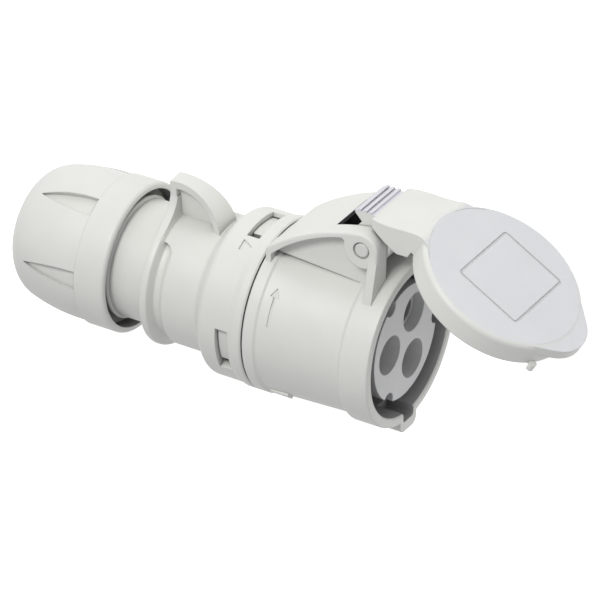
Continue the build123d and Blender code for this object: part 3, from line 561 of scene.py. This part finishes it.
def groove_end(degrees, away, steps=8):
    """Material that rounds one end of the groove behind the body; away is the groove's side, 1 or -1."""
    far = GROOVE_W + GROOVE_OVERLAP
    rows = [(0.0, far, -GROOVE_OVERLAP * away)]
    for step in range(steps + 1):
        turn = math.radians(90 * (1 - step / steps))
        rows.append((GROOVE_W * math.cos(turn), far, GROOVE_W * (1 - math.sin(turn)) * away))
    return wrapped_strip(rows, BODY_R - GROOVE_FLOOR, BODY_R - GROOVE_TOP, GROOVE_X, degrees)


def arrow_outline(length, shaft_w, head_w, head_len, steps=10):
    """Arrow that points along the second coordinate, with a shaft cut into short runs."""
    neck = length / 2 - head_len
    runs = [-length / 2 + (neck + length / 2) * step / steps for step in range(steps + 1)]
    one_side = [(shaft_w / 2, run) for run in runs]
    head = [(head_w / 2, neck), (0, length / 2), (-head_w / 2, neck)]
    other_side = [(-shaft_w / 2, run) for run in reversed(runs)]
    return one_side + head + other_side


def rounded_rectangle(width, height, corner, steps=6):
    """Corner points of a rectangle with rounded corners, centred."""
    points = []
    for turn, (across, up) in enumerate(((1, 1), (-1, 1), (-1, -1), (1, -1))):
        centre = (across * (width / 2 - corner), up * (height / 2 - corner))
        for step in range(steps + 1):
            angle = math.radians(90 * (turn + step / steps))
            points.append((centre[0] + corner * math.cos(angle), centre[1] + corner * math.sin(angle)))
    return points


def frame_cutter(width, height, corner, groove_w, depth, place):
    """Cutter for a groove that runs round a rectangle with rounded corners."""
    work = bmesh.new()
    rims = []
    for inset in (0.0, groove_w):
        for level in (CUT_MARGIN, -depth):
            outline = rounded_rectangle(width - 2 * inset, height - 2 * inset, corner - inset)
            rims.append([work.verts.new(place @ Vector((x * MM, y * MM, level * MM))) for x, y in outline])
    outer_top, outer_low, inner_top, inner_low = rims
    ring = (outer_top, outer_low, inner_low, inner_top, outer_top)
    for first, second in zip(ring, ring[1:]):
        for index in range(len(first)):
            following = (index + 1) % len(first)
            work.faces.new((first[index], first[following], second[following], second[index]))
    return mesh_piece("cutter", work)


def round_cutter(radius, z0, z1, x, y):
    """Round bar across the coupler, in millimetres."""
    work = bmesh.new()
    place = Matrix.Translation(Vector((x, y, (z0 + z1) / 2)) * MM)
    bmesh.ops.create_cone(
        work, cap_ends=True, segments=48, radius1=radius * MM, radius2=radius * MM, depth=(z1 - z0) * MM, matrix=place,
    )
    return mesh_piece("cutter", work)


def lid_place():
    """Frame on the lid's outer face: local X down to the thumb lip, local Y across, local Z outwards."""
    angle = math.radians(LID_OPEN_DEG)
    out = Vector((math.cos(angle), math.sin(angle), 0))
    down = Vector((math.sin(angle), -math.cos(angle), 0))
    place = Matrix((down, out.cross(down), out)).transposed().to_4x4()
    place.translation = (HINGE + out * LID_FACE_DISTANCE + down * LID_CENTRE_DROP) * MM
    return place


def dress_rear_housing():
    piece = joined_copy("rear_housing", "rear_housing_finished")
    pointer = wrapped_cutter([POINTER], POINTER_DEPTH, JOINT_X - POINTER_BACK, POINTER_DEG, COLLAR_R)
    length = THREAD_LEN + THREAD_RUNOUT
    thread = grow("cutter", thread_tree(), {
        "Radius": (THREAD_R + THREAD_LIFT) * MM, "Profile Radius": THREAD_PROFILE_R * MM, "Length": length * MM,
        "Turns": length / THREAD_PITCH, "Start": (THREAD_X - THREAD_RUNOUT / 2) * MM, "Material": HOUSING_GREY,
    })
    carve(piece, [groove_end(degrees, away) for degrees, away in GROOVE_ENDS], "UNION")
    carve(piece, [pointer, thread])
    finish_piece(piece, "rear_housing", "rear", HOUSING_GREY)


def dress_front_housing():
    piece = joined_copy("front_housing", "front_housing_finished")
    turn_arrow = wrapped_cutter(
        [arrow_outline(**TURN_ARROW)], TURN_ARROW_DEPTH, JOINT_X + TURN_ARROW_AHEAD, TURN_ARROW_DEG, BARREL_R,
    )
    faces = (-EAR_FACE, EAR_FACE)
    sinks = [
        round_cutter(PIN_SINK_R, face - PIN_SINK_DEPTH, face + PIN_SINK_DEPTH, HINGE.x, HINGE.y) for face in faces
    ]
    carve(piece, [turn_arrow, *sinks])
    finish_piece(piece, "front_housing", "front", HOUSING_GREY)

    def in_shroud(centre, normal):
        in_bore = math.hypot(centre.y, centre.z) < MOUTH_R + 0.1
        beside_key = abs(centre.z) < KEYWAY_HALF_W and -KEYWAY_R < centre.y < 0
        in_keyway = centre.x > MOUTH_X - KEYWAY_LEN and beside_key
        on_rim = centre.x > MOUTH_X - RIM_DEPTH and abs(normal.x) > 0.5
        return centre.x > BULKHEAD_X - 0.5 and (in_bore or in_keyway) and not on_rim

    def in_bracket(centre, normal):
        along = JOINT_X + ROOF_T < centre.x < HINGE.x
        return along and abs(centre.z) < WEB_INSIDE and centre.y > BARREL_R - 3 and normal.y < 0.3

    # Painted shade on the shroud's inner wall and keyway.
    tint_faces(piece, INSIDE_PAINTED_SHADE, in_shroud)
    # Painted shadow inside the hinge bracket's hollow.
    tint_faces(piece, BRACKET_PAINTED_SHADOW, in_bracket)


def face_trimmer():
    """Thin disc above the lid's face, for cutting away what the arm's ramp leaves inside the circle."""
    work = bmesh.new()
    place = lid_place() @ Matrix.Translation(Vector((0, 0, LID_RAMP_H / 2 + LID_RAMP_REST)) * MM)
    bmesh.ops.create_cone(
        work, cap_ends=True, segments=128, radius1=LID_FACE_R * MM, radius2=LID_FACE_R * MM,
        depth=LID_RAMP_H * MM, matrix=place,
    )
    return mesh_piece("cutter", work)


def dress_lid():
    piece = joined_copy("lid", "lid_finished")
    place = lid_place() @ Matrix.Translation(Vector(LID_FRAME_SHIFT) * MM)
    carve(piece, [face_trimmer(), frame_cutter(place=place, **LID_FRAME)])
    finish_piece(piece, "lid", "lid", HOUSING_GREY)
    to_face = lid_place().inverted()
    outwards = lid_place().to_3x3() @ Vector((0, 0, 1))

    def on_face(centre, normal):
        spot = (to_face @ (centre * MM)) / MM
        in_disc = math.hypot(spot.x, spot.y) < LID_FACE_R + 0.3 or spot.x > LID_LIP_START
        return normal.dot(outwards) > 0.9 and in_disc and abs(spot.z) < 0.6

    def on_ridges(centre, normal):
        return centre.x < HINGE.x + RIDGE_AHEAD and centre.y > HINGE.y + RIDGE_FOOT

    # Painted light: the lid's outer face takes the darker, bluer grey.
    tint_faces(piece, LID_FACE_PAINTED_SHADE, on_face)
    # Painted shade: the ridges on the lid's heel take the lilac grey.
    tint_faces(piece, RIDGE_PAINTED_SHADE, on_ridges)


def dress_spring():
    piece = grow("lid_spring_wound", torsion_spring_tree(), {
        "Coil Radius": SPRING_COIL_R * MM, "Wire Radius": SPRING_WIRE_R * MM, "Length": SPRING_LEN * MM,
        "Turns": SPRING_TURNS, "Upper Leg": SPRING_UPPER_LEG * MM, "Lower Leg": SPRING_LOWER_LEG * MM,
        "Material": PLATED_STEEL,
    })
    piece.data.transform(Matrix.Translation(HINGE * MM))
    finish_piece(piece, "lid_spring", "front", PLATED_STEEL)


def dress_insert():
    piece = joined_copy("contact_insert", "contact_insert_finished")
    finish_piece(piece, "contact_insert", "front", INSERT_GREY)

    def in_empty_place(centre, normal):
        in_hole = math.hypot(centre.y - EMPTY_Y, centre.z - EMPTY_Z) < EMPTY_R
        return in_hole and centre.x < INSERT_FACE_X - EMPTY_SINK and abs(normal.x) < 0.5

    # Painted shade on the walls deep in the empty contact place.
    tint_faces(piece, INSIDE_PAINTED_SHADE, in_empty_place)


def dress_plain(node, body, material):
    piece = joined_copy(node, node + "_finished")
    finish_piece(piece, node, body, material)


dress_rear_housing()
dress_front_housing()
dress_lid()
dress_spring()
dress_plain("gland_nut", "nut", HOUSING_GREY)
dress_insert()
dress_plain("hinge_pin", "front", PIN_GREY)

PLAIN_NODES = {
    "housing_o_ring": SEAL_BLACK, "gland_seal": SEAL_BLACK, "lid_seal": SEAL_BLACK,
    "pressure_ring": INNER_GREY, "gland_cage": INNER_GREY, "insert_retainer": INNER_GREY,
    "terminal_block": INSERT_GREY, "retainer_screws": PLATED_STEEL,
    "contact_sleeve_lower": CONTACT_BRASS, "contact_sleeve_near": CONTACT_BRASS,
    "contact_spring_ring_lower": PLATED_STEEL, "contact_spring_ring_near": PLATED_STEEL,
    "terminal_screw_lower": PLATED_STEEL, "terminal_screw_near": PLATED_STEEL,
}
for node, material in PLAIN_NODES.items():
    give_material(frame["nodes"][node], material)


# Stage, lights and camera

FLOOR_HALF_W = 3.0
FLOOR_GLOW = 0.3
FLOOR_GLOW_IN_VIEW = 0.45
WORLD_STRENGTH = 0.52
KEY_LIGHT = {"side": -0.5, "lift": 0.42, "depth": 1.14, "size": 0.35, "power": 9.3, "tint": (1.0, 1.0, 0.97)}


def floor():
    """Pale plate under the coupler, which glows a little more where the camera sees it, as a studio sweep does."""
    mesh = bpy.data.meshes.new("floor")
    corners = [(x * FLOOR_HALF_W, y * FLOOR_HALF_W, cad_low.z) for x, y in ((-1, -1), (1, -1), (1, 1), (-1, 1))]
    mesh.from_pydata(corners, [], [(0, 1, 2, 3)])
    plate = bpy.data.objects.new("floor", mesh)
    bpy.context.scene.collection.objects.link(plate)
    material = bpy.data.materials.new("floor_white")
    material.use_nodes = True
    shader = material.node_tree.nodes["Principled BSDF"]
    shader.inputs["Base Color"].default_value = (0.9, 0.9, 0.9, 1)
    shader.inputs["Roughness"].default_value = 0.9
    shader.inputs["Emission Color"].default_value = (1, 1, 1, 1)
    path = add(material.node_tree, "ShaderNodeLightPath")
    glow = add(material.node_tree, "ShaderNodeMath", operation="MULTIPLY_ADD")
    glow.inputs[1].default_value = FLOOR_GLOW_IN_VIEW
    glow.inputs[2].default_value = FLOOR_GLOW
    material.node_tree.links.new(path.outputs["Is Camera Ray"], glow.inputs[0])
    material.node_tree.links.new(glow.outputs["Value"], shader.inputs["Emission Strength"])
    mesh.materials.append(material)


def view_axes(azimuth, elevation, roll):
    """Right, up and back of the camera, for an object that stands with its hinge up."""
    turn = math.radians(azimuth)
    rise = math.radians(elevation)
    back = Vector((math.sin(turn) * math.cos(rise), -math.cos(turn) * math.cos(rise), math.sin(rise)))
    right = Vector((0, 0, 1)).cross(back).normalized()
    up = back.cross(right)
    spin = Matrix.Rotation(math.radians(-roll), 3, back)
    return spin @ right, spin @ up, back


CAMERA_AZIMUTH = 29.86
CAMERA_ELEVATION = 30.76
CAMERA_ROLL = -1.38
CAMERA_DISTANCE = 2.02948
CAMERA_SIDE = 0.00419
CAMERA_LIFT = 0.00124
CAMERA_LENS = 373.16
LAID_DOWN = Matrix(((1, 0, 0), (0, 0, 1), (0, -1, 0)))
LOOK_AT = Vector((JOINT_X * MM, 0, 0))
right, up, back = (LAID_DOWN @ axis for axis in view_axes(CAMERA_AZIMUTH, CAMERA_ELEVATION, CAMERA_ROLL))


def camera():
    data = bpy.data.cameras.new("camera")
    data.lens = CAMERA_LENS
    data.sensor_width = 36.0
    data.clip_start = 0.1
    data.clip_end = 20.0
    item = bpy.data.objects.new("camera", data)
    bpy.context.scene.collection.objects.link(item)
    place = Matrix((right, up, back)).transposed().to_4x4()
    place.translation = LOOK_AT + right * CAMERA_SIDE + up * CAMERA_LIFT + back * CAMERA_DISTANCE
    item.matrix_world = place
    bpy.context.scene.camera = item


def soft_light(name, side, lift, depth, size, power, tint):
    """Square area light, placed by the camera's own directions and aimed at the coupler."""
    data = bpy.data.lights.new(name, "AREA")
    data.size = size
    data.energy = power
    data.color = tint
    item = bpy.data.objects.new(name, data)
    bpy.context.scene.collection.objects.link(item)
    item.location = LOOK_AT + right * side + up * lift + back * depth
    item.rotation_euler = (LOOK_AT - item.location).to_track_quat("-Z", "Y").to_euler()


def lights():
    world = bpy.data.worlds.new("studio")
    world.use_nodes = True
    backdrop = world.node_tree.nodes["Background"]
    backdrop.inputs["Color"].default_value = (0.98, 0.98, 1.0, 1)
    backdrop.inputs["Strength"].default_value = WORLD_STRENGTH
    bpy.context.scene.world = world
    bpy.context.scene.view_settings.view_transform = "Standard"
    soft_light("key", **KEY_LIGHT)


floor()
camera()
lights()
